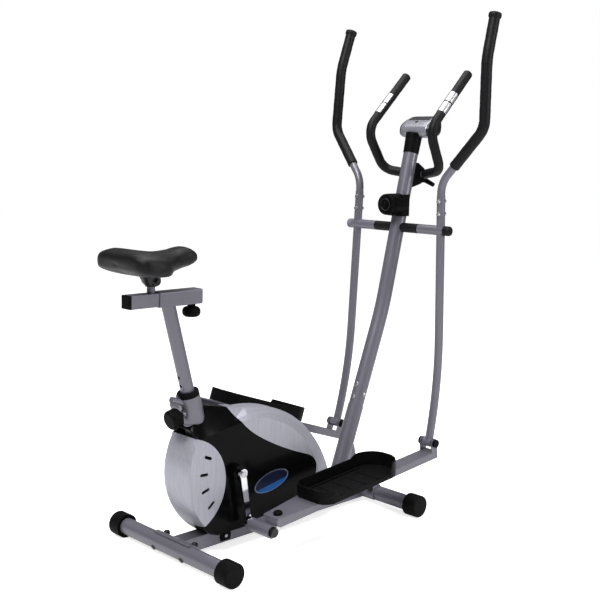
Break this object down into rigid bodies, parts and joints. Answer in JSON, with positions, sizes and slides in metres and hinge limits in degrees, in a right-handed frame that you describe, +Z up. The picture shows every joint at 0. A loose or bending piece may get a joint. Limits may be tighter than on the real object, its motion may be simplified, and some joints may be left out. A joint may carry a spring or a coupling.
{
  "type": "elliptical trainer",
  "caption": "Upright elliptical trainer with a saddle: drum housing over crank and flywheel, swing arms with foam handles, foot bars with tray plates, column with console.",
  "frame": {"origin": "on the floor under the middle of the overall box", "axes": "+X from the saddle to the handlebars, +Y to the rider's left, +Z up"},
  "size_m": [1.2998, 0.6752, 1.5619],
  "materials": {
    "frame_paint": "metallic grey enamel, slight violet tint",
    "silver_shell": "silver painted plastic, satin",
    "black_shell": "high-gloss black",
    "black_plastic": "moulded black, fine grain",
    "plate_plastic": "moulded black, ribbed floor",
    "black_rubber": "matt",
    "foam": "soft foam, fine open grain",
    "saddle_cover": "black vinyl cover over foam",
    "chrome": "polished",
    "steel": "zinc plated",
    "dark_steel": "black enamel",
    "cast_iron": "turned rim",
    "belt": "ribbed belt",
    "sensor_metal": "smooth contact plate",
    "screen": "dark display window, blank",
    "badge": "plain blue oval, no lettering"
  },
  "bodies": {
    "frame": {"main_beam": "frame_paint", "rear_stabilizer": "frame_paint", "front_stabilizer": "frame_paint", "rear_end_caps": "black_rubber", "front_end_caps": "black_rubber", "frame_bolts": "dark_steel", "column_base": "frame_paint", "column": "frame_paint", "column_neck": "black_plastic", "cross_axle": "steel", "axle_trim": "black_plastic", "drive_support": "dark_steel", "crank_bearings": "steel", "drive_belt": "belt", "seat_tube": "frame_paint", "seat_tube_collar": "black_plastic", "rear_covers": "silver_shell", "front_covers": "silver_shell", "shroud_right": "black_shell", "shroud_left": "black_shell", "badges": "badge", "silver_screws": "steel", "handlebar_clamp": "black_plastic", "console_shell": "silver_shell", "console_screen": "screen", "dial_housing": "black_plastic"},
    "crank": {"crank_axle": "steel", "right_crank": "chrome", "left_crank": "chrome", "crank_pulley": "black_plastic", "crank_pins": "dark_steel"},
    "flywheel": {"flywheel": "cast_iron"},
    "magnet": {"magnet_bracket": "dark_steel"},
    "right_arm": {"right_lower_arm": "frame_paint", "right_arm_bolts": "steel", "right_handle": "frame_paint", "right_grip": "foam"},
    "left_arm": {"left_lower_arm": "frame_paint", "left_arm_bolts": "steel", "left_handle": "frame_paint", "left_grip": "foam"},
    "right_bar": {"right_foot_bar": "frame_paint", "right_bar_pivot": "black_plastic", "right_foot_plate": "plate_plastic"},
    "left_bar": {"left_foot_bar": "frame_paint", "left_bar_pivot": "black_plastic", "left_foot_plate": "plate_plastic"},
    "seat_post": {"seat_post": "frame_paint"},
    "seat_slider": {"slider_tube": "frame_paint", "slider_end_cap": "black_plastic", "saddle_clamp": "dark_steel", "saddle": "saddle_cover"},
    "pin_knob": {"pin_knob": "black_plastic"},
    "slider_knob": {"slider_knob": "black_plastic"},
    "tension_dial": {"tension_dial": "black_plastic"},
    "handlebar": {"handlebar_tube": "frame_paint", "handlebar_grips": "foam", "pulse_sensors": "sensor_metal"},
    "clamp_knob": {"clamp_knob": "black_plastic"},
    "mode_button": {"mode_button": "black_plastic"}
  },
  "joints": [
    {"name": "crank_turn", "type": "hinge", "parent": "frame", "child": "crank", "pos_m": [-0.282, 0, 0.23], "axis": [0, -1, 0], "range_deg": [-16, 16]},
    {"name": "flywheel_spin", "type": "hinge", "parent": "frame", "child": "flywheel", "pos_m": [-0.045, 0, 0.172], "axis": [0, -1, 0], "range_deg": [-97, 97]},
    {"name": "right_arm_swing", "type": "hinge", "parent": "frame", "child": "right_arm", "pos_m": [0.464, -0.176, 0.893], "axis": [0, -1, 0], "range_deg": [-3.67, 3.67]},
    {"name": "left_arm_swing", "type": "hinge", "parent": "frame", "child": "left_arm", "pos_m": [0.464, 0.176, 0.893], "axis": [0, -1, 0], "range_deg": [-3.34, 3.34]},
    {"name": "right_bar_tilt", "type": "hinge", "parent": "right_arm", "child": "right_bar", "pos_m": [0.44934, -0.176, 0.20562], "axis": [0, -1, 0], "range_deg": [-4.34, 4.34]},
    {"name": "left_bar_tilt", "type": "hinge", "parent": "left_arm", "child": "left_bar", "pos_m": [0.38715, 0.176, 0.20977], "axis": [0, -1, 0], "range_deg": [-4.3, 4.3]},
    {"name": "tension_turn", "type": "hinge", "parent": "frame", "child": "tension_dial", "pos_m": [0.398, 0, 0.968], "axis": [-1, 0, 0], "range_deg": [0, 300]},
    {"name": "magnet_swing", "type": "hinge", "parent": "frame", "child": "magnet", "pos_m": [-0.158, 0, 0.186], "axis": [0, -1, 0], "range_deg": [0, 8.2]},
    {"name": "seat_height", "type": "slide", "parent": "frame", "child": "seat_post", "axis": [-0.2706, 0, 0.9627], "range_m": [-0.1, 0.1]},
    {"name": "seat_slide", "type": "slide", "parent": "seat_post", "child": "seat_slider", "axis": [1, 0, 0], "range_m": [-0.05, 0]},
    {"name": "slider_knob_turn", "type": "hinge", "parent": "seat_post", "child": "slider_knob", "pos_m": [-0.402, 0, 0.7], "axis": [0, 0, 1], "range_deg": [0, 360]},
    {"name": "pin_pull", "type": "slide", "parent": "frame", "child": "pin_knob", "axis": [-0.9627, 0, -0.2706], "range_m": [0, 0.01], "stiffness_N_per_m": 2000},
    {"name": "handlebar_tilt", "type": "hinge", "parent": "frame", "child": "handlebar", "pos_m": [0.5575, 0, 1.067], "axis": [0, 1, 0], "range_deg": [-12, 12]},
    {"name": "clamp_knob_turn", "type": "hinge", "parent": "frame", "child": "clamp_knob", "pos_m": [0.59, 0, 1.05], "axis": [1, 0, 0], "range_deg": [0, 180]},
    {"name": "mode_press", "type": "slide", "parent": "frame", "child": "mode_button", "axis": [0.4338, 0, -0.901], "range_m": [0, 0.0015], "stiffness_N_per_m": 1500}
  ],
  "couplings": [
    {"joint": "flywheel_spin", "follows": "crank_turn", "ratio": 6},
    {"joint": "right_arm_swing", "follows": "crank_turn", "ratio": 0.22341},
    {"joint": "left_arm_swing", "follows": "crank_turn", "ratio": -0.2028},
    {"joint": "right_bar_tilt", "follows": "crank_turn", "ratio": -0.2652},
    {"joint": "left_bar_tilt", "follows": "crank_turn", "ratio": 0.26226},
    {"joint": "magnet_swing", "follows": "tension_turn", "ratio": 0.026667}
  ]
}
